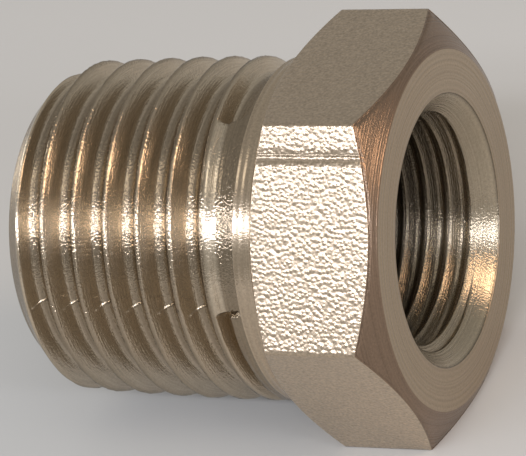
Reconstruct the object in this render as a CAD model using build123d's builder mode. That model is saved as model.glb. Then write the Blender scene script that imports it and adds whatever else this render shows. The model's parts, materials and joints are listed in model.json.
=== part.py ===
from build123d import *
import os
from math import radians, tan

# Hex reducing bushing, turned from one length of hexagonal brass bar.
#
# A male taper pipe thread (R 1/4) screws into the larger port, and a female
# parallel pipe thread (G 1/8) in the hex face takes the smaller pipe.
#
# Frame: millimetres, +Z up, lying on one flat of the hexagon. The thread axis
# is X, the hex face looks along +X, and the origin is where the axis crosses
# the plane of the hex face. Every station below is measured back from there.

# ---- hexagonal head ---------------------------------------------------------
hex_across_flats = 14.29       # drawn 9/16 in hexagon
hex_length = 5.15              # hex face to the foot of the rear chamfer
face_ring_inset = 0.405        # the turned face ring stops this far inside a flat
face_chamfer_angle = 27.0      # from the plane of the face
rear_chamfer_angle = 27.0
corner_overrun = 0.6           # how far the chamfering tool runs past a corner

# ---- male taper thread, as its turned blank ---------------------------------
overall_length = 15.65
gauge_diameter = 13.157        # R 1/4 major diameter in the gauge plane
gauge_length = 6.0             # gauge plane to the free end
taper_on_diameter = 1 / 16
crest_relief = 0.05            # crests finish this far under the nominal cone
shank_diameter = 13.04         # plain collar between run-out and hexagon
lead_chamfer = 0.95            # 45 degrees, on the free end

# ---- female parallel thread and waterway ------------------------------------
tap_major_diameter = 9.728     # G 1/8
tap_pitch = 0.907
mouth_clearance = 0.276        # countersink over the thread's roots, on the radius
countersink_angle = 90.0       # included
tapped_depth = 9.5             # hex face to the end of the tapped wall
waterway_step = 0.283          # tapped wall down to the waterway, on the radius
drill_point_angle = 118.0      # left by the tapping drill at the step
outlet_break = 0.3             # edge broken where the waterway comes out


# ---- sizes that follow ------------------------------------------------------
hex_corner_radius = hex_across_flats / 3**0.5
face_ring_radius = hex_across_flats / 2 - face_ring_inset
shank_radius = shank_diameter / 2
tool_radius = max(hex_corner_radius, shank_radius) + corner_overrun
face_slope = tan(radians(face_chamfer_angle))
rear_slope = tan(radians(rear_chamfer_angle))

free_end = -overall_length
half_taper = taper_on_diameter / 2
end_crest_radius = (gauge_diameter - taper_on_diameter * gauge_length) / 2 - crest_relief
cone_start = free_end + lead_chamfer
cone_start_radius = end_crest_radius + half_taper * lead_chamfer
shank_root = -hex_length / 2   # the shank is buried this far in the hexagon
cone_root_radius = cone_start_radius + half_taper * (shank_root - cone_start)

whitworth_depth = 0.6403       # of a 55 degree thread, as a share of its pitch
tap_radius = tap_major_diameter / 2 - whitworth_depth * tap_pitch
mouth_radius = tap_major_diameter / 2 + mouth_clearance
waterway_radius = tap_radius - waterway_step
countersink_depth = (mouth_radius - tap_radius) / tan(radians(countersink_angle / 2))
drill_point = waterway_step / tan(radians(drill_point_angle / 2))


with BuildPart() as hex_bushing:
    # The bar: a hexagon with flats above and below and corners at the sides.
    with BuildSketch(Plane.YZ.offset(-hex_length)):
        RegularPolygon(radius=hex_across_flats / 2, side_count=6, major_radius=False)
    extrude(amount=hex_length)

    # Both ends of the hexagon are chamfered on the lathe, so each flat ends in
    # the arc that a cone cuts across it, and only the corners lose much metal.
    with BuildSketch(Plane.XY):
        with BuildLine():
            Polyline(
                (0, 0),
                (0, face_ring_radius),
                (-(tool_radius - face_ring_radius) * face_slope, tool_radius),
                (-hex_length + (tool_radius - shank_radius) * rear_slope, tool_radius),
                (-hex_length, shank_radius),
                (-hex_length, 0),
                close=True,
            )
        make_face()
    revolve(axis=Axis.X, mode=Mode.INTERSECT)

    # The shank: lead chamfer, then the cone of the thread crests, which runs up
    # until the plain bar diameter of the collar limits it.
    with BuildSketch(Plane.XY):
        with BuildLine():
            Polyline(
                (shank_root, 0),
                (shank_root, cone_root_radius),
                (cone_start, cone_start_radius),
                (free_end, cone_start_radius - lead_chamfer),
                (free_end, 0),
                close=True,
            )
        make_face()
        with Locations((free_end, 0)):
            Rectangle(
                overall_length,
                shank_radius,
                align=(Align.MIN, Align.MIN),
                mode=Mode.INTERSECT,
            )
    revolve(axis=Axis.X)

    # The bore, cut in one profile: countersunk mouth, tapped wall at its minor
    # diameter, drill point, waterway, broken edge at the outlet.
    with BuildSketch(Plane.XY):
        with BuildLine():
            Polyline(
                (0, 0),
                (0, mouth_radius),
                (-countersink_depth, tap_radius),
                (-tapped_depth, tap_radius),
                (-tapped_depth - drill_point, waterway_radius),
                (free_end + outlet_break, waterway_radius),
                (free_end, waterway_radius + outlet_break),
                (free_end, 0),
                close=True,
            )
        make_face()
    revolve(axis=Axis.X, mode=Mode.SUBTRACT)

hex_bushing.part.label = "hex_bushing"

os.makedirs("parts", exist_ok=True)
export_step(hex_bushing.part, "parts/hex_bushing.step")

solid = hex_bushing.part
box = solid.bounding_box()
print(f"hex_bushing: {len(solid.solids())} solid, {solid.volume:.1f} mm3, valid {solid.is_valid}")
print(f"box {box.size.X:.3f} x {box.size.Y:.3f} x {box.size.Z:.3f} mm")
print(f"crest cone starts at {2 * cone_start_radius:.3f} mm diameter, {cone_start:.2f} mm from the face")
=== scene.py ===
# %% [markdown]
# # Hex reducing bushing in nickel-plated brass
#
# A reducing bushing is one piece of hexagon bar, turned and threaded on a
# lathe and then nickel plated. The male taper thread screws into the larger
# port, and the female thread in the hexagon takes the smaller pipe. The
# construction model holds its sizes, with plain walls where the threads are.
# This lesson gives it the threads, the broken edges and the finish.

# %% Load the construction model
import json
import math

import bmesh
import bpy
import numpy as np
from mathutils import Matrix, Vector

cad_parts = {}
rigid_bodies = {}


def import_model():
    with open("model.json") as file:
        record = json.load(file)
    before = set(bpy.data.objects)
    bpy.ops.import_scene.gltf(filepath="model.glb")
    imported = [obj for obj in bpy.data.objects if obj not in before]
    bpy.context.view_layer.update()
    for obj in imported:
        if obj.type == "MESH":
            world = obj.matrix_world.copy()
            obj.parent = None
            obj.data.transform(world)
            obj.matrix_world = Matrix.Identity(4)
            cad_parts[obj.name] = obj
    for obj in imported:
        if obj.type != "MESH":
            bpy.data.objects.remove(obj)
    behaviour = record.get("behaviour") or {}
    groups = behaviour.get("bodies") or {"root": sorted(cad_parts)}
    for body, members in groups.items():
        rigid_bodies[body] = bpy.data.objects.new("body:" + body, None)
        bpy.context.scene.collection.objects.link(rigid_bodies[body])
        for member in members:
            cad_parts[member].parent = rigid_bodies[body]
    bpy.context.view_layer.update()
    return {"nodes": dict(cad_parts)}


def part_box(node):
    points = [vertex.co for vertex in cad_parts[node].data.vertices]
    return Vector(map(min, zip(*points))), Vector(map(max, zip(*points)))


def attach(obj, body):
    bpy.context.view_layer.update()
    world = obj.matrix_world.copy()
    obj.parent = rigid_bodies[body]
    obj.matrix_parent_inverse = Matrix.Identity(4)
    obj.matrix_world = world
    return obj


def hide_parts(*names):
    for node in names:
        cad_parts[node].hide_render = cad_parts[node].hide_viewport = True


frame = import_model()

print("nodes:", sorted(frame["nodes"]))

# %% [markdown]
# ## The camera
#
# A small part is best seen through a long lens from a little way off, because
# a near camera would make the hexagon loom over the thread. The camera is
# described the way one sets a tripod: where it looks, how far off it stands,
# the two angles of its arm, and how far the head is rolled.

# %% Where the camera stands
mm = 0.001

camera_target = Vector((-7.66, 0.05, -0.05)) * mm
camera_distance = 142.28 * mm
camera_azimuth = math.radians(29.16)
camera_elevation = math.radians(29.95)
camera_roll = math.radians(14.71)

towards_camera = Vector(
    (
        math.sin(camera_azimuth) * math.cos(camera_elevation),
        -math.cos(camera_azimuth) * math.cos(camera_elevation),
        math.sin(camera_elevation),
    )
)
level_right = Vector((0, 0, 1)).cross(towards_camera).normalized()
level_up = towards_camera.cross(level_right)
camera_up = math.cos(camera_roll) * level_up + math.sin(camera_roll) * level_right
camera_right = camera_up.cross(towards_camera)

# %% The camera itself
camera = bpy.data.objects.new("camera", bpy.data.cameras.new("camera"))
bpy.context.collection.objects.link(camera)
camera.data.lens = 256.17
camera.data.sensor_width = 36.0
camera.data.clip_start = 10 * mm
camera.data.clip_end = 10.0
axes = Matrix((camera_right, camera_up, towards_camera)).transposed().to_4x4()
camera.matrix_world = Matrix.Translation(camera_target + camera_distance * towards_camera) @ axes
bpy.context.scene.camera = camera
bpy.context.scene.view_settings.view_transform = "Standard"
print("camera stands at", [round(v / mm, 1) for v in camera.matrix_world.translation], "mm")

# %% [markdown]
# ## Colours and nodes
#
# Colours are written as a picture editor shows them. Blender's shaders work
# in linear light, so one function turns the one into the other. A second
# function adds a shader node with its settings and its links, so that a
# material reads from top to bottom as a list of its nodes.


# %% Colour and node helpers
def linear(hex_code):
    """A colour such as #8c7a66 as linear red, green, blue and alpha."""
    srgb = [int(hex_code[i : i + 2], 16) / 255 for i in (1, 3, 5)]
    return [c / 12.92 if c <= 0.04045 else ((c + 0.055) / 1.055) ** 2.4 for c in srgb] + [1.0]


def add(tree, kind, settings=None, inputs=None):
    """Adds a node. settings are its options, inputs its values or the sockets that feed it."""
    node = tree.nodes.new("ShaderNode" + kind)
    for name, value in (settings or {}).items():
        setattr(node, name, value)
    for name, value in (inputs or {}).items():
        if isinstance(value, bpy.types.NodeSocket):
            tree.links.new(value, node.inputs[name])
        else:
            node.inputs[name].default_value = value
    return node


def new_material(name):
    """An empty node material and its tree."""
    material = bpy.data.materials.new(name)
    material.use_nodes = True
    material.node_tree.nodes.clear()
    return material, material.node_tree


# %% [markdown]
# ## The floor
#
# The bushing lies on one flat of its hexagon, on a sheet of matt white paper.
# Metal is mostly the colour of what stands round it, and the paper is what
# the underside reflects, so it is kept a light neutral grey, as white paper
# looks away from a lamp. A plain diffuse shader is enough, because paper has
# no gloss to speak of.

# %% Floor
bushing_lo, bushing_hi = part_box("hex_bushing")
sheet_half = 0.25               # half the side of the sheet, in metres

corners = ((-1, -1), (1, -1), (1, 1), (-1, 1))
floor_mesh = bpy.data.meshes.new("floor")
floor_mesh.from_pydata(
    [(x * sheet_half, y * sheet_half, bushing_lo[2]) for x, y in corners],
    [],
    [(0, 1, 2, 3)],
)
floor = bpy.data.objects.new("floor", floor_mesh)
bpy.context.collection.objects.link(floor)

white_paper, tree = new_material("white paper sheet")
matt = add(tree, "BsdfDiffuse", inputs={"Color": linear("#c1c1bf")})
add(tree, "OutputMaterial", inputs={"Surface": matt.outputs[0]})
floor_mesh.materials.append(white_paper)
print(f"the sheet is {2 * sheet_half} m wide and lies at z = {bushing_lo[2] / mm:.3f} mm")

# %% [markdown]
# ## The room
#
# Everything beyond the paper is one even, slightly warm white. It gives the
# flats that no lamp reaches their plain brown-grey tone, and it is kept dim
# so that the lamps still stand out on the metal.

# %% World
world = bpy.data.worlds.new("pale room")
bpy.context.scene.world = world
world.use_nodes = True
tree = world.node_tree
tree.nodes.clear()
room = add(tree, "Background", inputs={"Color": linear("#fdfaf4"), "Strength": 0.42})
add(tree, "OutputWorld", inputs={"Surface": room.outputs[0]})

# %% [markdown]
# ## Lamps
#
# Metal shows what it reflects, so each lamp is placed by the mark that it
# should draw on the part. Two angles give its direction from the middle of
# the part: around the axis, where 0 faces the camera and 90 is above, and
# along the axis, where 90 is straight out of the hexagon. Every lamp is a
# softbox, a glowing rectangle, and the camera doesn't see it.


# %% Lamp helpers
facing = math.radians(146.71)   # the angle about the axis that looks at the camera, from +Y


def direction(around, along):
    """The unit vector at those two angles, in degrees."""
    angle = facing - math.radians(around)
    out = math.cos(math.radians(along))
    return Vector((math.sin(math.radians(along)), out * math.cos(angle), out * math.sin(angle)))


def softbox(name, around, along, width, height, radiance, colour, distance=0.30):
    """An area lamp that faces the part, in metres. Its width runs along the part's axis."""
    data = bpy.data.lights.new(name, "AREA")
    data.shape = "RECTANGLE"
    data.size = width
    data.size_y = height
    data.energy = radiance * math.pi * width * height
    data.color = linear(colour)[:3]
    lamp = bpy.data.objects.new(name, data)
    bpy.context.collection.objects.link(lamp)
    back = direction(around, along)
    side = Vector((1, 0, 0)) - back.x * back
    side.normalize()
    turn = Matrix((side, back.cross(side), back)).transposed().to_4x4()
    lamp.matrix_world = Matrix.Translation(camera_target + distance * back) @ turn
    lamp.visible_camera = False
    print(f"{name}: {data.energy:.3f} W at {[round(v, 3) for v in lamp.matrix_world.translation]} m")


# %% [markdown]
# ### The strip
#
# A long thin strip beside the camera, parallel to the axis, puts a short
# white spot in every groove of the thread and one on the collar. It is built
# of four lamps in one line, because its parts do different work. The long
# one reaches the sides of the grooves, the middle one makes their roots
# white, and the two ends reach the lead chamfer and the mouth of the bore.

# %% Strip lamps
strip_around = 2.5
strip_height = 0.018
cool_white = "#f4f6ff"

softbox("long strip", strip_around, -5, 0.60, strip_height, 16.0, cool_white)
softbox("strip middle", strip_around, 6, 0.22, strip_height, 20.0, cool_white, distance=0.28)
softbox("strip left end", strip_around, -74, 0.16, strip_height, 10.0, cool_white)
softbox("strip right end", strip_around, 58, 0.16, strip_height, 21.0, cool_white)

# %% [markdown]
# ### Fill, warm lamp and far lamp
#
# A broad weak fill above the camera opens up the grain of the front flat. A
# small warm lamp beyond the hexagon lights only what leans that way: the
# front chamfer, the flanks of the thread and the lower side of the mouth,
# which all take a tan glow from it. A lamp behind does the same for the far
# side of the thread.

# %% Other lamps
softbox("front fill", 34, 15, 0.24, 0.10, 1.5, "#fff6ea")
softbox("warm lamp", 69, 62, 0.08, 0.09, 11.0, "#ffdcbc")
softbox("far lamp", 130, -69, 0.07, 0.08, 7.0, "#fffaf0")

# %% [markdown]
# ## Sizes
#
# The outside sizes come from the construction model's box. From here on the
# sizes are in millimetres, and the mesh is turned into metres at the very
# end. The face of the hexagon is at station 0, and stations run along the
# axis, negative towards the free end.

# %% Sizes of the head and the ends
face = bushing_hi[0] / mm
free_end = bushing_lo[0] / mm
across_flats = (bushing_hi[2] - bushing_lo[2]) / mm

hex_length = 5.15
ring_inset = 0.405              # of the turned ring, from the flats
ring_radius = across_flats / 2 - ring_inset
chamfer_slope = math.tan(math.radians(27))
collar_radius = 6.52
end_radius = 5.42               # of the free end, at the foot of the lead chamfer
mouth_radius = 5.14
waterway_radius = 4.0

print(f"hexagon {across_flats:.2f} mm across flats, {face - free_end:.2f} mm long overall")

# %% [markdown]
# ## How the skin is built
#
# A turned part could be spun from one profile, but a thread is not the same
# all the way round, and neither is a hexagon. So the skin is a net of rows
# and columns wrapped around the axis. Each column is an angle, each row gives
# a station and a radius for every column, and a thread is just a radius that
# changes with both. The net closes on itself through the bore, as the real
# surface does, so that the mesh is one closed solid.
#
# Most columns are evenly spread, with a few close together at each corner of
# the hexagon to round it. Three narrow features get columns of their own:
# the witness marks across the threads, the place where the chasers of the
# die were lifted, and two scratches that the drawing die left along one flat.

# %% Angles of the narrow features
witness_angle = -30.5           # about the axis from the camera, as for the lamps
lift_angle = 39.0
lift_slope = 5.4                # degrees for each millimetre along the axis

scratched_flat = 150.0          # the middle of the flat that has the scratches, from +Y
scratch_offsets = [2.83, 3.05]  # of the scratches from the middle of the flat
scratches = [scratched_flat - math.degrees(math.atan2(y, across_flats / 2)) for y in scratch_offsets]

# %% Columns
sextant = 60.0
corner_spread = [-0.9, -0.45, 0.0, 0.45, 0.9]
between_corners = 30
even_step = (sextant - 2 * corner_spread[-1]) / (between_corners + 1)
witness_step = 0.3
lift_step = 0.4
scratch_step = 0.2

one_flat = corner_spread + [corner_spread[-1] + even_step * (i + 1) for i in range(between_corners)]
angles = [sextant * side + angle for side in range(6) for angle in one_flat]
angles += [math.degrees(facing) - witness_angle + witness_step * i for i in range(-6, 7)]
angles += [math.degrees(facing) - lift_angle - lift_step * i for i in range(-3, 12)]
angles += [scratch + scratch_step * i for scratch in scratches for i in (-1, 0, 1)]
columns = np.radians(sorted(set(round(a % 360, 3) for a in angles)))
if len(columns) % 2:
    columns = np.delete(columns, 1)     # the bore takes every second column, so the count is even
print(len(columns), "columns")

# %% [markdown]
# ### Helpers for the radius
#
# Where two turned surfaces meet, the smaller or the larger radius wins, and
# the crease between them is rounded a little, as plating leaves it. Pipe
# threads have the Whitworth form: flanks at 55 degrees to each other, with
# crest and root rounded. One function gives the depth of that form at any
# distance from a crest, for both threads.


# %% Radius helpers
def smooth_min(a, b, blend):
    """The smaller of two, with the crease between them rounded over that distance."""
    share = np.clip(0.5 + 0.5 * (b - a) / blend, 0, 1)
    return b * (1 - share) + a * share - blend * share * (1 - share)


def smooth_max(a, b, blend):
    """The larger of two, rounded in the same way."""
    return -smooth_min(-a, -b, blend)


def ridge(distance, width):
    """A soft ridge of height one over distance zero."""
    return np.exp(-((distance / width) ** 2))


# %% Thread form
def whitworth_depth(along, pitch, crest_rounding, root_rounding):
    """Depth under the crest at a distance along the axis from any crest."""
    flank = math.radians(27.5)
    lost = 1 / math.sin(flank) - 1
    full = pitch / 2 / math.tan(flank) - (crest_rounding + root_rounding) * lost
    from_crest = np.abs((along + pitch / 2) % pitch - pitch / 2)
    from_root = pitch / 2 - from_crest
    on_crest = crest_rounding - np.sqrt(np.maximum(crest_rounding**2 - from_crest**2, 0))
    on_root = full - root_rounding + np.sqrt(np.maximum(root_rounding**2 - from_root**2, 0))
    on_flank = from_crest / math.tan(flank) - crest_rounding * lost
    depth = np.where(from_crest < crest_rounding * math.cos(flank), on_crest, on_flank)
    return np.where(from_root < root_rounding * math.cos(flank), on_root, depth)


# %% [markdown]
# ## The male thread
#
# The crests run up a cone of 1 in 16 until they meet the plain collar. A
# die cut them, so the crests are sharp and the roots are worn round, and the
# two roundings differ. A station and an angle are first turned into a count
# of crests and a count of turns along the helix, because everything that
# happens to a thread happens along the helix.

# %% Male thread sizes
male_pitch = 1.337
male_crest_rounding = 0.07
male_root_rounding = 0.34
male_crest_radius = 6.38        # at the first full crest
male_first_crest = -14.109      # its station, where the crest is uppermost to the camera
half_taper = 1 / 32
thread_end = -5.9               # station where the last full crest gives way to the collar
last_groove = 5
male_turns = (thread_end - free_end) / male_pitch
print(f"{male_turns:.1f} turns of male thread, {25.4 / male_pitch:.0f} to the inch")

# %% [markdown]
# ### Where the chasers lift
#
# A die head opens at the end of the cut. Its chasers leave the work one
# after another, so the last groove doesn't fade out but changes depth in
# steps, and the plain land of the collar starts at a different station in
# each sector. Both are lists of turns along the helix with the value there,
# and the value between two of them is found in a straight line.

# %% The run-out of the last groove
groove_turns = [0, 5.1405, 5.1445, 5.3315, 5.3345, 5.60, 5.80]
groove_depths = [1, 1, 0.42, 0.42, 1, 1, 0]                         # as a share of the full depth
first_lift = (5.05, 5.25)       # the first step leans along the axis, between these two turns
land_turns = [-0.16, 0.3315, 0.3345, 0.50, 0.65, 0.80, 0.85]
land_starts = [-5.85, -5.85, -6.28, -6.16, -6.10, -5.85, -5.85]     # station of the plain land
land_chamfer = 4                # how steeply the land drops into the groove, radius for each station
wide_root_turns = [4.86, 4.95]  # where the last groove opens out to a wide flat root
wide_root = 0.70                # width of that root, as a share of the pitch


def last_groove_form(crests, progress):
    """The count of crests, held still across the wide flat root of the last groove."""
    past_root = np.maximum(crests - last_groove - 0.5, 0)
    flat = np.interp(progress, wide_root_turns, [0, wide_root])
    widened = np.minimum(last_groove + 0.5 + np.maximum(past_root - flat, 0), last_groove + 1)
    return np.where(past_root > 0, widened, crests)


# %% [markdown]
# ### Marks on the thread
#
# A cut thread in brass is never clean. The crests carry a fine burr and
# small beads of metal. A light raised line crosses each groove in the same
# place, where the chasers stopped for a moment. The lift leaves a burr up
# its slope and a small one crossed over it. Each is a soft ridge, a few
# hundredths of a millimetre high, and the beads are drawn from a seeded
# generator so that they are the same each time.

# %% Marks on the thread
rough_edge = np.random.default_rng(7)
bead_height = 0.007
bead_reach = 0.05               # how far under the crest the beads go
crest_burr = (0.012, 0.04, 0.03)        # its height, its distance before the crest, its width

witness_height = 0.06
witness_width = 0.36            # in degrees, as the other widths across the axis
witness_slope = 5.0             # degrees from one crest to the next
witness_end = -6.0              # the last station that has one
witness_span = (0.20, 0.86)     # from crest to crest, so that the crests stay whole
witness_middle = 0.45           # where in that span a mark is at witness_angle

burr_height = 0.06
burr_width = 0.5
lift_station = -6.65            # where the lift crosses lift_angle
burr_station, burr_reach = -6.30, 0.45
crossing_angle, crossing_slope, crossing_width = -29.2, 12, 0.4
crossing_station, crossing_reach = -6.35, 0.15
foot_height, foot_width = 0.02, 0.03
foot_place = 0.41               # of a pitch past the last groove's crest
foot_turns = (5.15, 5.33)       # where along the helix it begins and ends


def thread_marks(x, around, crests, progress, depth):
    """How much the marks add to the radius."""
    along_pitch = crests % 1
    height, before_crest, width = crest_burr
    on_thread = x < thread_end
    beads = rough_edge.standard_normal(x.shape) * ridge(depth, bead_reach) * on_thread
    marks = height * ridge((1 - along_pitch) * male_pitch - before_crest, width) * on_thread
    marks = marks + bead_height * beads

    in_groove = (along_pitch > witness_span[0]) * (along_pitch < witness_span[1]) * (x < witness_end)
    witness = around - witness_angle - witness_slope * (along_pitch - witness_middle)
    marks = marks + witness_height * ridge(witness, witness_width) * in_groove

    lift = around - lift_angle - lift_slope * (x - lift_station)
    marks = marks + burr_height * ridge(lift, burr_width) * (np.abs(x - burr_station) < burr_reach)
    crossing = around - crossing_angle - crossing_slope * (x - crossing_station)
    near = np.abs(x - crossing_station) < crossing_reach
    marks = marks + burr_height * ridge(crossing, crossing_width) * near

    foot = ridge(crests - last_groove - foot_place, foot_width)
    return marks + foot_height * foot * (progress > foot_turns[0]) * (progress < foot_turns[1])


# %% [markdown]
# ### The radius of the threaded end
#
# Now everything comes together: the cone less the depth of the thread, never
# more than the collar, then the land, the marks, the fine turning grooves of
# the collar and the 45 degree chamfer that leads the thread in.

# %% Radius of the threaded end
root_blend = 0.03
land_blend = 0.02
lead_blend = 0.04
tool_groove = 0.013             # half the depth of the collar's turning grooves
tool_feed = 0.25                # and how far apart they are
tool_start = -5.2
land_margin = 0.02              # between the land's edge and the first of those grooves


def helix(x, angle):
    """Turns about the axis from where the crest is uppermost, and the count of crests."""
    turned = (angle - facing + math.pi / 2) / (2 * math.pi)
    return turned, (x - male_first_crest) / male_pitch - turned


def male_radius(x, angle):
    """Radius of the threaded end at a station and an angle."""
    turned, crests = helix(x, angle)
    progress = np.floor(np.minimum(crests, last_groove + 0.99)) + turned
    crests = last_groove_form(crests, progress)
    depth = whitworth_depth(crests * male_pitch, male_pitch, male_crest_rounding, male_root_rounding)
    at_lift = (progress > first_lift[0]) * (progress < first_lift[1])
    lift = lift_slope / 360 * (x - lift_station) * at_lift
    depth = depth * np.interp(progress + lift, groove_turns, groove_depths)

    cone = male_crest_radius + half_taper * (x - male_first_crest)
    radius = smooth_min(cone - depth, collar_radius + 0 * x, root_blend)
    land_start = np.interp(turned, land_turns, land_starts)
    land = collar_radius - land_chamfer * np.maximum(land_start - x, 0)
    radius = smooth_max(radius, land, land_blend)
    radius = radius + thread_marks(x, 90 - 360 * turned, crests, progress, depth)

    on_land = (x > land_start + land_margin) * (radius > collar_radius - root_blend)
    tool_marks = 1 + np.cos(2 * math.pi * (x - tool_start) / tool_feed)
    radius = radius - tool_groove * tool_marks * on_land
    lead = end_radius + (x - free_end)
    return smooth_min(radius, lead, lead_blend)


# %% Rows of the thread
collar_start = -5.30            # the station where the rows of the head take over
row_step = 0.0415
first_row = 0.02

thread = []
for x in np.arange(free_end + first_row, collar_start, row_step):
    stations = np.full_like(columns, x)
    thread.append((stations, male_radius(stations, columns)))
print(len(thread), "thread rows")

# %% [markdown]
# ### Painted light on the flanks
#
# The flanks that look towards the hexagon were burnished by the die and are
# smoother than the torn roots. They also get a lighter colour, painted light
# that lifts the shade between the crests. A number for each point says how
# far it is onto such a flank, and the material reads it later.


# %% Share of the flank with painted light
flank_middle = 0.20             # as shares of the pitch
flank_fade = 0.10


def flank_share(x, angle):
    """How far a point is onto the flank that looks towards the hexagon, from 0 to 1."""
    crests = helix(x, angle)[1]
    off_middle = np.abs(crests % 1 - flank_middle)
    return np.clip((flank_middle - off_middle) / flank_fade, 0, 1) * (x < thread_end)


# %% [markdown]
# ## The hexagon
#
# Drawn hexagon bar has slightly rounded corners, so each column's radius is
# that of a flat or of a small arc at a corner. The drawing die left two
# scratches along one flat. They are real grooves here, three columns to
# each, so that they also show on the edges of the flat.

# %% Radius of the bar
corner_break = 0.12
scratch_depth = 0.03
scratch_width = 0.16            # in degrees


def hex_radius(angle):
    """Radius of a hexagon with rounded corners, one of them at angle 0."""
    corner = np.abs((angle + math.pi / 6) % (math.pi / 3) - math.pi / 6)
    flat = across_flats / 2 / np.cos(math.pi / 6 - corner)
    centre = (across_flats / 2 - corner_break) / math.cos(math.pi / 6)
    inside = np.maximum(corner_break**2 - (centre * np.sin(corner)) ** 2, 0)
    arc = centre * np.cos(corner) + np.sqrt(inside)
    tangent = math.atan2(corner_break * 0.5, centre + corner_break * math.cos(math.pi / 6))
    radius = np.where(corner < tangent, arc, flat)
    for scratch in scratches:
        radius = radius - scratch_depth * ridge(np.degrees(angle) - scratch, scratch_width)
    return radius


flat_radius = hex_radius(columns)
print(f"bar radius {flat_radius.min():.3f} to {flat_radius.max():.3f} mm")

# %% [markdown]
# ### Edges of the head
#
# Every column crosses the same edges of a profile, only at different radii:
# the foot of the rear chamfer, the rear and front edges of the flat, the
# edge of the face ring and the edge of the mouth. Each is broken by a small
# arc, as plating and tumbling leave it, because that arc is what catches a
# thin line of light.


# %% Row helpers
def row(x, radius):
    """A row of the net: station and radius for each column."""
    return np.stack([x + 0 * columns, radius + 0 * columns], axis=1)


def between(a, b, steps):
    """Rows evenly between two rows, without either."""
    return [a + (b - a) * (i / steps) for i in range(1, steps)]


def towards(a, b):
    """The unit step from one row to another, for each column."""
    return (b - a) / np.linalg.norm(b - a, axis=1, keepdims=True)


def broken_edge(before, at, after, size, steps):
    """Rows of a small arc that replaces the corner of a profile, one profile for each column."""
    to_before = towards(at, before)
    to_after = towards(at, after)
    half = np.arccos(np.clip((to_before * to_after).sum(1), -1, 1)) / 2
    reach = (size / np.tan(half))[:, None]
    start = at + to_before * reach
    end = at + to_after * reach
    rows = []
    for i in range(steps + 1):
        t = i / steps
        # a quadratic curve is close enough to an arc this small
        rows.append((1 - t) ** 2 * start + 2 * t * (1 - t) * at + t**2 * end)
    return rows


# %% Edges of the head
collar_begin = row(collar_start + 0.05, collar_radius)
collar_foot = row(-hex_length, collar_radius)
rear_edge = row(-hex_length + (flat_radius - collar_radius) * chamfer_slope, flat_radius)
front_edge = row(-(flat_radius - ring_radius) * chamfer_slope, flat_radius)
ring_edge = row(face, ring_radius)
mouth_edge = row(face, mouth_radius)
countersink_end = row(face - 1, mouth_radius - 1)      # any point down its 45 degree slope

# %% [markdown]
# ### Rows of the head
#
# The rows run from the collar over the rear chamfer, the flats, the front
# chamfer and the ring to the mouth. Just past the front edge of the flats
# the chamfering tool pushed up a burr, and under it lies a narrow groove
# that reads as a dark line. The last number in each call is its count of
# steps, and steps are spent where the surface curves or a finish needs them.
# The count of rows is kept at three edges, where one finish gives way to the
# next.

# %% Rows of the head
collar_break = 0.08
edge_break = 0.06
mouth_break = 0.7 * edge_break
burr_groove = ((0.02, 0.0), (0.05, 0.04), (0.09, 0.0))      # distance down the chamfer, and depth
from_middle = 3                 # rows from the middle of an arc to the end of the list

foot_arc = broken_edge(collar_begin, collar_foot, rear_edge, collar_break, 4)
rear_arc = broken_edge(collar_foot, rear_edge, front_edge, edge_break, 4)
front_arc = broken_edge(rear_edge, front_edge, ring_edge, edge_break, 4)
ring_arc = broken_edge(front_edge, ring_edge, mouth_edge, edge_break, 4)
mouth_arc = broken_edge(ring_edge, mouth_edge, countersink_end, mouth_break, 3)

head = between(collar_begin, foot_arc[0], 3) + foot_arc
head += between(head[-1], rear_arc[0], 5) + rear_arc
rear_break_row = len(head) - from_middle
head += between(head[-1], front_arc[0], 10) + front_arc
front_break_row = len(head) - from_middle

down_chamfer = towards(front_edge, ring_edge)
off_chamfer = np.stack([-down_chamfer[:, 1], down_chamfer[:, 0]], axis=1)
head += [front_arc[-1] + along * down_chamfer - deep * off_chamfer for along, deep in burr_groove]
head += between(head[-1], ring_arc[0], 6) + ring_arc
ring_break_row = len(head) - from_middle
head += between(head[-1], mouth_arc[0], 8) + mouth_arc
print(len(head), "head rows")

# %% [markdown]
# ## The bore
#
# The countersunk mouth, the female thread, the cone that the drill left and
# the narrower waterway. It has half as many columns, because it is smaller
# and seen only through the mouth. Small female threads are tapped to less
# than their full depth, which is easier on the tap and nearly as strong.

# %% Bore sizes
female_pitch = 0.907
female_minor_radius = 4.283
female_first_crest = -0.83      # its station, at female_start
female_start = math.radians(170)        # about the axis, past the camera's side
female_crest_rounding = 0.08
female_root_rounding = 0.20
thread_engagement = 0.85        # tapped depth of thread as a share of the full form
countersink_blend = 0.03
tapped_depth = 9.5
runout_start = 0.5              # before the end of the tapped length
runout_length = 0.9
lead_in_start = -0.45
lead_in_length = 0.35
bore_columns = columns[::2]


def bore_radius(x, angle):
    """Radius of the tapped hole at a station and an angle."""
    turned = angle - facing + female_start
    along = x - female_first_crest - female_pitch * turned / (2 * math.pi)
    depth = whitworth_depth(along, female_pitch, female_crest_rounding, female_root_rounding)
    lead_in = np.clip((lead_in_start - x) / lead_in_length, 0, 1)
    fade = np.clip((x + tapped_depth - runout_start) / runout_length, 0, 1)
    thread = female_minor_radius + thread_engagement * depth * lead_in * fade
    return smooth_max(thread, mouth_radius + x, countersink_blend)


# %% Rows of the bore
visible_depth = -5.0            # deeper than this the rows are wider apart
tapped_rows = np.linspace(-0.08, visible_depth, 110)
deep_rows = np.linspace(visible_depth, -tapped_depth, 50)[1:]

bore = []
for x in np.concatenate([tapped_rows, deep_rows]):
    stations = np.full_like(bore_columns, x)
    bore.append((stations, bore_radius(stations, bore_columns)))

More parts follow.
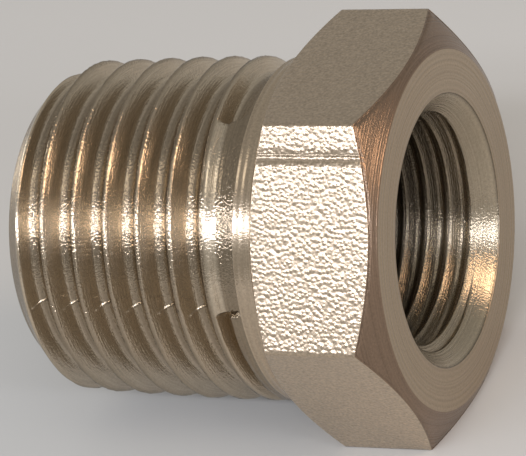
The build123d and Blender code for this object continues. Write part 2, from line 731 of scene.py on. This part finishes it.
drill_half_angle = math.radians(59)
drill_cone = (female_minor_radius - waterway_radius) / math.tan(drill_half_angle)
outlet_break = 0.3
waterway_stations = (-tapped_depth - drill_cone, -11.5, -13.5, free_end + outlet_break)
for x in waterway_stations:
    bore.append((np.full_like(bore_columns, x), np.full_like(bore_columns, waterway_radius)))
print(len(bore), "bore rows,", len(bore_columns), "columns")

# %% [markdown]
# ## The free end
#
# A flat turned ring between the broken edge of the waterway and the foot of
# the lead chamfer. Its rows crowd towards the rim, because the thread's
# first groove just touches the ring there.

# %% Rows of the free end
rim_gap = 0.02
end_shares = (0.3, 0.6, 0.9, 0.97)      # of the way from the waterway to the rim
outlet_radius = waterway_radius + outlet_break

end_face = [(np.full_like(columns, free_end), np.full_like(columns, outlet_radius))]
for share in end_shares:
    stations = np.full_like(columns, free_end)
    rim = male_radius(stations, columns) - rim_gap
    end_face.append((stations, outlet_radius + (rim - outlet_radius) * share))

# %% [markdown]
# ## Joining the rows
#
# The rows now go in one list, round the section and back to the start, each
# with the number of its finish. Between two rows with as many columns the
# faces are quads. Where the bore's rows meet rows with twice as many, each
# quad is split into three triangles, so that no edge is left open.

# %% All rows in order
thread_zone, shank_zone, flats_zone, face_zone, bore_zone, chamfer_zone = range(6)
shank_start = -5.83             # station where the thread's finish gives way to the collar's

rows = [(x, radius, columns, shank_zone) for x, radius in end_face]
rows += [(x, radius, columns, thread_zone if x[0] < shank_start else shank_zone) for x, radius in thread]
for number, place in enumerate(head):
    if number <= rear_break_row:
        zone = shank_zone
    elif number <= front_break_row:
        zone = flats_zone
    elif number <= ring_break_row:
        zone = chamfer_zone
    else:
        zone = face_zone
    rows.append((place[:, 0], place[:, 1], columns, zone))
rows += [(x, radius, bore_columns, bore_zone) for x, radius in bore]
print(len(rows), "rows")


# %% Faces between two rows
def faces_between(a, n, b, m):
    """Faces from a row of n vertices that starts at number a to one of m that starts at b."""
    faces = []
    if n == m:
        faces = [(a + k, a + (k + 1) % n, b + (k + 1) % n, b + k) for k in range(n)]
    elif n > m:
        for k in range(m):
            left, middle, right = a + 2 * k, a + 2 * k + 1, a + (2 * k + 2) % n
            low, high = b + k, b + (k + 1) % m
            faces += [(left, middle, low), (middle, high, low), (middle, right, high)]
    else:
        for k in range(n):
            left, middle, right = b + 2 * k, b + 2 * k + 1, b + (2 * k + 2) % m
            low, high = a + k, a + (k + 1) % n
            faces += [(left, low, middle), (middle, low, high), (middle, high, right)]
    return faces


# %% Vertices and faces
vertices = []
starts = []
for x, radius, angle, zone in rows:
    starts.append(sum(len(v) for v in vertices))
    vertices.append(np.stack([x, radius * np.cos(angle), radius * np.sin(angle)], axis=1))

faces = []
zones = []
for i in range(len(rows)):
    j = (i + 1) % len(rows)
    new = faces_between(starts[i], len(vertices[i]), starts[j], len(vertices[j]))
    zone = rows[j][3] if j else rows[i][3]
    faces += new
    zones += [zone] * len(new)

# %% The mesh
skin = bpy.data.meshes.new("bushing_body")
skin.from_pydata((np.concatenate(vertices) * mm).tolist(), [], faces)
skin.polygons.foreach_set("use_smooth", [True] * len(faces))
skin.polygons.foreach_set("material_index", zones)
triangles = sum(len(f) - 2 for f in faces)
print(f"bushing_body: {len(faces)} faces, {triangles} triangles")

# %% [markdown]
# ## Where painted light and shade go
#
# Two marks of painted light and shade go into one number for each point. On
# the male thread it is the share of the flank that looks towards the hexagon,
# which takes painted light. In the bore it falls with depth: painted shade
# where little light finds its way in, partly also the thinner nickel that a
# bath leaves deep in a hole. The darker tone stands in for both.

# %% Painted light and shade for each point
# painted shade: the bore's colour darkens over this depth
painted_shade_depth = 3.8                 # millimetres into the bore where the tone has turned fully dark

painted_light_and_shade = []
for x, radius, angle, zone in rows:
    # in the bore the share falls with depth, painted shade; on the thread it is the flank's painted
    # light
    if zone == bore_zone:
        painted_light_and_shade.append(np.clip(1 + x / painted_shade_depth, 0, 1))
    else:
        painted_light_and_shade.append(flank_share(x, angle) * (zone == thread_zone))
tone = skin.attributes.new("painted_light_and_shade", "FLOAT", "POINT")
tone.data.foreach_set("value", np.concatenate(painted_light_and_shade))
skin.update()

# %% [markdown]
# ## A closed solid, facing outwards
#
# A renderer and a slicer both want to know which side of a face is metal. If
# the signed volume comes out negative, every face looks inwards, and all are
# turned over together. An open edge would be an edge with other than two
# faces, and there should be none.

# %% Outward faces
work = bmesh.new()
work.from_mesh(skin)
if work.calc_volume(signed=True) < 0:
    bmesh.ops.reverse_faces(work, faces=work.faces)
open_edges = sum(not edge.is_manifold for edge in work.edges)
print(f"volume {work.calc_volume() / mm**3:.1f} mm3, open edges {open_edges}")
work.to_mesh(skin)
work.free()

# %% The piece
bushing = bpy.data.objects.new("bushing_body", skin)
bpy.context.collection.objects.link(bushing)
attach(bushing, "root")
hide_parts("hex_bushing")

# %% [markdown]
# ## Nickel plate over brass
#
# Nickel plate is a thin satin layer that copies the brass under it, so every
# mark of the cutting tool stays visible, and the metal keeps a faint warm
# tone. It is one material in six states, because the bar was worked in six
# ways, and some of the states also carry painted light and shade in their
# colour. All six share the same build:
#
# - turning lines, a noise that depends only on station and radius, so that
#   it draws rings round the axis wherever the lathe tool went;
# - a grain, either a fine tooth or the imported domes of a drawn surface;
# - a tone that varies a little along the lines and in specks, and a lighter
#   colour where the mesh says so, which is painted light and shade;
# - an anisotropic highlight, stretched across the tool's marks, which is how
#   a turned surface draws a lamp out into a streak along the axis.
#
# A fine feed leaves lines 0.05 to 0.1 mm apart, and the domes of a drawn skin
# are about a tenth of a millimetre wide, so the widths below start from those
# sizes. The tooth and the specks of plated brass are finer, a few hundredths
# of a millimetre, and are drawn two or three times coarser so that they show
# at all.

# %% Sizes of the plate's detail
speck_width = 0.09              # of the faint specks in the tone, coarser than real, in millimetres
tone_swing = 0.20               # how far the tone strays to each side
smooth_flank = 0.4              # share of the grain that is left where the metal is lightest
across_the_marks = 0.25         # of a turn, which lays the highlight along the axis


# %% Turning lines
def turning_lines(tree, place, width):
    """A noise that is the same all the way round the axis, so that it draws rings."""
    off_axis = add(tree, "VectorMath", {"operation": "MULTIPLY"}, {0: place, 1: (0, 1, 1)})
    radius = add(tree, "VectorMath", {"operation": "LENGTH"}, {0: off_axis.outputs["Vector"]})
    station = add(tree, "SeparateXYZ", inputs={0: place})
    profile = add(tree, "CombineXYZ", inputs={0: station.outputs["X"], 1: radius.outputs["Value"]})
    scale = {"Scale": 1 / (width * mm), "Detail": 3.0}
    return add(tree, "TexNoise", {"noise_dimensions": "2D"}, {"Vector": profile.outputs[0], **scale})


# %% Grain
def grain_height(tree, place, width, domed):
    """The height of the grain: packed domes, or a fine tooth."""
    at = {"Vector": place, "Scale": 1 / (width * mm)}
    if not domed:
        return add(tree, "TexNoise", inputs={**at, "Detail": 1.5}).outputs[0]
    cells = add(tree, "TexVoronoi", {"feature": "SMOOTH_F1"}, {**at, "Smoothness": 0.6})
    domes = add(tree, "Math", {"operation": "MULTIPLY"}, {0: cells.outputs["Distance"], 1: -1.0})
    return domes.outputs[0]


# %% Tone
def plate_tone(tree, place, colour, painted_light_colour, light, lines, domed):
    """The plate's colour, with its painted light and shade, its specks and its lines."""
    base = linear(colour)
    # lighter where the mesh's number is high: painted light on the thread's flanks, and in the bore a
    # lighter mouth over painted shade deeper in
    if painted_light_colour:
        blend = {0: light, 6: base, 7: linear(painted_light_colour)}
        base = add(tree, "Mix", {"data_type": "RGBA"}, blend).outputs[2]
    at = {"Vector": place, "Scale": 1 / (speck_width * mm)}
    specks = add(tree, "TexNoise", inputs={**at, "Detail": 2.0})
    share_of_lines = 0.0 if domed else 0.5      # a drawn surface has no rings
    marks = add(tree, "Mix", inputs={0: share_of_lines, 2: specks.outputs["Fac"], 3: lines})
    swing = {"From Min": 0.3, "From Max": 0.7, "To Min": 1 - tone_swing, "To Max": 1 + tone_swing}
    tint = add(tree, "MapRange", {}, {"Value": marks.outputs[0], **swing})
    multiply = {"data_type": "RGBA", "blend_type": "MULTIPLY"}
    return add(tree, "Mix", multiply, {0: 1.0, 6: base, 7: tint.outputs[0]}).outputs[2]


# %% Nickel plate
def nickel(name, colour, roughness, stretch, lines, grain, painted_light_colour=None, domed=False):
    """Nickel plate over brass. lines and grain are each a width and a height in millimetres."""
    material, tree = new_material(name)
    place = add(tree, "TexCoord").outputs["Object"]
    # the share of painted light and shade, read from the mesh
    light = add(tree, "Attribute", {"attribute_name": "painted_light_and_shade"}).outputs["Fac"]
    turning = turning_lines(tree, place, lines[0]).outputs["Fac"]
    line_bump = add(tree, "Bump", inputs={"Height": turning, "Distance": lines[1] * mm})
    torn = add(tree, "MapRange", {}, {"Value": light, "To Min": 1.0, "To Max": smooth_flank})
    grain_bump = add(
        tree,
        "Bump",
        inputs={
            "Strength": torn.outputs[0],
            "Height": grain_height(tree, place, grain[0], domed),
            "Distance": grain[1] * mm,
            "Normal": line_bump.outputs[0],
        },
    )
    tangent = add(tree, "Tangent", {"direction_type": "RADIAL", "axis": "X"})
    metal = add(
        tree,
        "BsdfPrincipled",
        {},
        {
            "Base Color": plate_tone(tree, place, colour, painted_light_colour, light, turning, domed),
            "Metallic": 1.0,
            "Roughness": roughness,
            "Anisotropic": stretch,
            "Anisotropic Rotation": across_the_marks,
            "Tangent": tangent.outputs[0],
            "Normal": grain_bump.outputs[0],
        },
    )
    add(tree, "OutputMaterial", inputs={"Surface": metal.outputs[0]})
    return material


# %% [markdown]
# ### The six states of the plate
#
# Each takes its roughness and grain from how the brass was worked before it
# went into the bath. The colours of the thread, the bore and the chamfer also
# carry painted light and shade. They are added to the mesh in the order of
# the zone numbers.

# %% Thread and collar
# die-cut: torn roots that sparkle, between smoother flanks; the darker colour is painted shade in the
# grooves, the lighter one painted light on the flanks
thread_plate = nickel(
    "nickel plate, die-cut thread",
    colour="#978976",
    roughness=0.22,
    stretch=0.65,
    lines=(0.05, 0.006),
    grain=(0.09, 0.023),
    painted_light_colour="#cbbda8",
)
# turned with a fine feed: the lightest and brightest metal, with clean long streaks
shank_plate = nickel(
    "nickel plate, turned shank",
    colour="#bfae98",
    roughness=0.24,
    stretch=0.7,
    lines=(0.10, 0.006),
    grain=(0.06, 0.006),
)

# %% Flats and face
# drawn through a die and never machined: a skin of packed domes that glitters as a whole
flats_plate = nickel(
    "nickel plate, drawn flats",
    colour="#bfae99",
    roughness=0.28,
    stretch=0.0,
    lines=(0.30, 0.001),
    grain=(0.14, 0.019),
    domed=True,
)
# faced square to the axis: an even dull tan with fine rings
face_plate = nickel(
    "nickel plate, turned face",
    colour="#b19f88",
    roughness=0.30,
    stretch=0.3,
    lines=(0.11, 0.030),
    grain=(0.06, 0.010),
)

# %% Bore and chamfer
# tapped: a dark colour deep inside, painted shade and partly thinner plating, turning lighter towards
# the mouth; the bright streaks round the mouth come from the lamps
bore_plate = nickel(
    "nickel plate, tapped bore",
    colour="#6a6154",
    roughness=0.27,
    stretch=0.85,
    lines=(0.07, 0.022),
    grain=(0.08, 0.026),
    painted_light_colour="#b5a893",
)
# turned chamfer: the darkest and reddest of the outside surfaces, a colour that is painted shade
chamfer_plate = nickel(
    "nickel plate, turned chamfer",
    colour="#8f7a68",
    roughness=0.28,
    stretch=0.3,
    lines=(0.09, 0.030),
    grain=(0.06, 0.010),
)

# %% Put the plate on
for plate in (thread_plate, shank_plate, flats_plate, face_plate, bore_plate, chamfer_plate):
    skin.materials.append(plate)
print([material.name for material in skin.materials])
